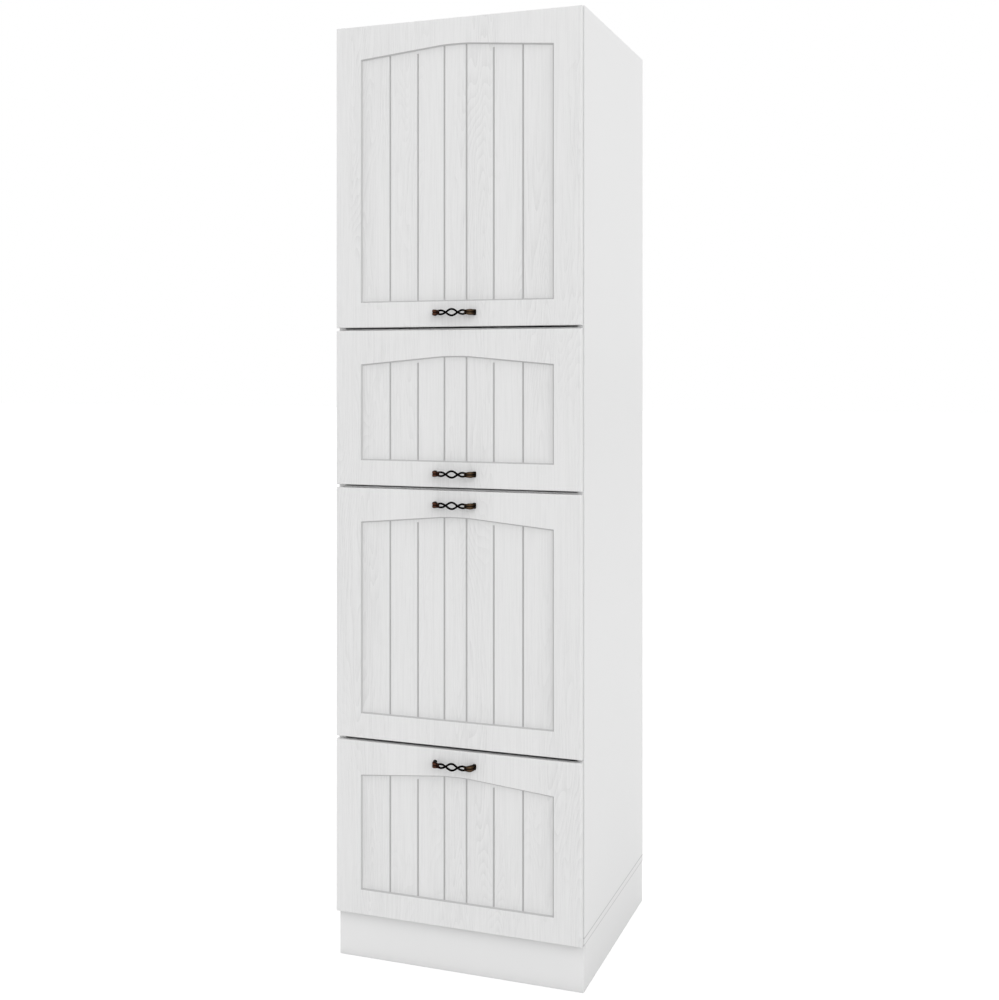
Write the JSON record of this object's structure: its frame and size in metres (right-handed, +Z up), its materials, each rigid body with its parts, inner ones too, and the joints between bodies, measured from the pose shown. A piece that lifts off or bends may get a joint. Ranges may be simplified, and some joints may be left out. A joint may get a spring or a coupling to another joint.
{
  "type": "tall kitchen cabinet",
  "caption": "Tall white kitchen storage cabinet with lift-up flaps above, deep drawers below, arched panel fronts, antique bow handles and a flush plinth.",
  "frame": {"origin": "on the floor, under the middle of the cabinet's bounding box", "axes": "+X to the cabinet's right as seen from the front, +Y towards the wall, +Z up; the fronts face -Y"},
  "size_m": [0.6, 0.603, 2.186],
  "materials": {
    "white_board": "white melamine-faced chipboard, satin",
    "white_front": "white foil-wrapped fibreboard with a faint embossed vertical grain",
    "white_sheet": "thin white lacquered fibreboard",
    "drawer_board": "white melamine-faced chipboard, satin",
    "raw_wood": "sawn softwood",
    "clear_buffer": "clear soft buffer",
    "zinc_fittings": "zinc plated",
    "hinge_steel": "nickel plated",
    "runner_steel": "zinc plated, satin",
    "strut_bracket": "zinc plated",
    "strut_body": "grey satin paint",
    "strut_rod": "polished chrome",
    "antique_bronze": "dark antique copper, rubbed on the raised parts"
  },
  "bodies": {
    "carcass": {"side_panel_left": "white_board", "side_panel_right": "white_board", "bottom_panel": "white_board", "top_panel": "white_board", "upper_shelf": "white_board", "middle_shelf": "white_board", "loose_shelf": "white_board", "shelf_pins": "zinc_fittings", "cam_discs": "zinc_fittings", "back_sheet_upper": "white_sheet", "back_sheet_lower": "white_sheet", "wall_rail": "white_board", "plinth_front": "white_board", "plinth_side_left": "white_board", "plinth_side_right": "white_board", "plinth_back": "white_board", "plinth_blocks": "raw_wood", "front_buffers": "clear_buffer", "hinge_arms": "hinge_steel", "hinge_plates": "hinge_steel", "strut_wall_brackets": "strut_bracket", "runner_outer": "runner_steel"},
    "upper_flap": {"upper_flap_front": "white_front", "upper_flap_handle": "antique_bronze", "upper_flap_handle_screws": "zinc_fittings", "upper_flap_hinge_cups": "hinge_steel", "upper_flap_hinge_pins": "hinge_steel", "upper_flap_strut_brackets": "strut_bracket"},
    "upper_strut_cylinders": {"upper_flap_strut_cylinders": "strut_body"},
    "upper_strut_rods": {"upper_flap_strut_rods": "strut_rod"},
    "lower_flap": {"lower_flap_front": "white_front", "lower_flap_handle": "antique_bronze", "lower_flap_handle_screws": "zinc_fittings", "lower_flap_hinge_cups": "hinge_steel", "lower_flap_hinge_pins": "hinge_steel", "lower_flap_strut_brackets": "strut_bracket"},
    "lower_strut_cylinders": {"lower_flap_strut_cylinders": "strut_body"},
    "lower_strut_rods": {"lower_flap_strut_rods": "strut_rod"},
    "upper_drawer": {"upper_drawer_front": "white_front", "upper_drawer_handle": "antique_bronze", "upper_drawer_handle_screws": "zinc_fittings", "upper_drawer_side_left": "drawer_board", "upper_drawer_side_right": "drawer_board", "upper_drawer_box_front": "drawer_board", "upper_drawer_box_back": "drawer_board", "upper_drawer_bottom": "white_sheet", "upper_drawer_runner_inner": "runner_steel"},
    "upper_runner_middle": {"upper_drawer_runner_middle": "runner_steel"},
    "lower_drawer": {"lower_drawer_front": "white_front", "lower_drawer_handle": "antique_bronze", "lower_drawer_handle_screws": "zinc_fittings", "lower_drawer_side_left": "drawer_board", "lower_drawer_side_right": "drawer_board", "lower_drawer_box_front": "drawer_board", "lower_drawer_box_back": "drawer_board", "lower_drawer_bottom": "white_sheet", "lower_drawer_runner_inner": "runner_steel"},
    "lower_runner_middle": {"lower_drawer_runner_middle": "runner_steel"}
  },
  "joints": [
    {"name": "upper_flap_hinge", "type": "hinge", "parent": "carcass", "child": "upper_flap", "pos_m": [0, -0.2695, 2.1756], "axis": [-1, 0, 0], "range_deg": [0, 80]},
    {"name": "upper_strut_swing", "type": "hinge", "parent": "carcass", "child": "upper_strut_cylinders", "pos_m": [0, -0.1795, 1.9056], "axis": [1, 0, 0], "range_deg": [0, 15.89]},
    {"name": "upper_strut_stroke", "type": "slide", "parent": "upper_strut_cylinders", "child": "upper_strut_rods", "axis": [0, -0.3048, 0.9524], "range_m": [0, 0.069]},
    {"name": "lower_flap_hinge", "type": "hinge", "parent": "carcass", "child": "lower_flap", "pos_m": [0, -0.2695, 1.4646], "axis": [-1, 0, 0], "range_deg": [0, 80]},
    {"name": "lower_strut_swing", "type": "hinge", "parent": "carcass", "child": "lower_strut_cylinders", "pos_m": [0, -0.1795, 1.1946], "axis": [1, 0, 0], "range_deg": [0, 15.89]},
    {"name": "lower_strut_stroke", "type": "slide", "parent": "lower_strut_cylinders", "child": "lower_strut_rods", "axis": [0, -0.3048, 0.9524], "range_m": [0, 0.069]},
    {"name": "upper_drawer_slide", "type": "slide", "parent": "carcass", "child": "upper_drawer", "axis": [0, -1, 0], "range_m": [0, 0.48]},
    {"name": "upper_runner_slide", "type": "slide", "parent": "carcass", "child": "upper_runner_middle", "axis": [0, -1, 0], "range_m": [0, 0.24]},
    {"name": "lower_drawer_slide", "type": "slide", "parent": "carcass", "child": "lower_drawer", "axis": [0, -1, 0], "range_m": [0, 0.48]},
    {"name": "lower_runner_slide", "type": "slide", "parent": "carcass", "child": "lower_runner_middle", "axis": [0, -1, 0], "range_m": [0, 0.24]}
  ],
  "couplings": [
    {"joint": "upper_strut_swing", "follows": "upper_flap_hinge", "ratio": 0.19845},
    {"joint": "upper_strut_stroke", "follows": "upper_flap_hinge", "m_per_rad": 0.049348},
    {"joint": "lower_strut_swing", "follows": "lower_flap_hinge", "ratio": 0.19845},
    {"joint": "lower_strut_stroke", "follows": "lower_flap_hinge", "m_per_rad": 0.049348},
    {"joint": "upper_runner_slide", "follows": "upper_drawer_slide", "ratio": 0.5},
    {"joint": "lower_runner_slide", "follows": "lower_drawer_slide", "ratio": 0.5}
  ]
}
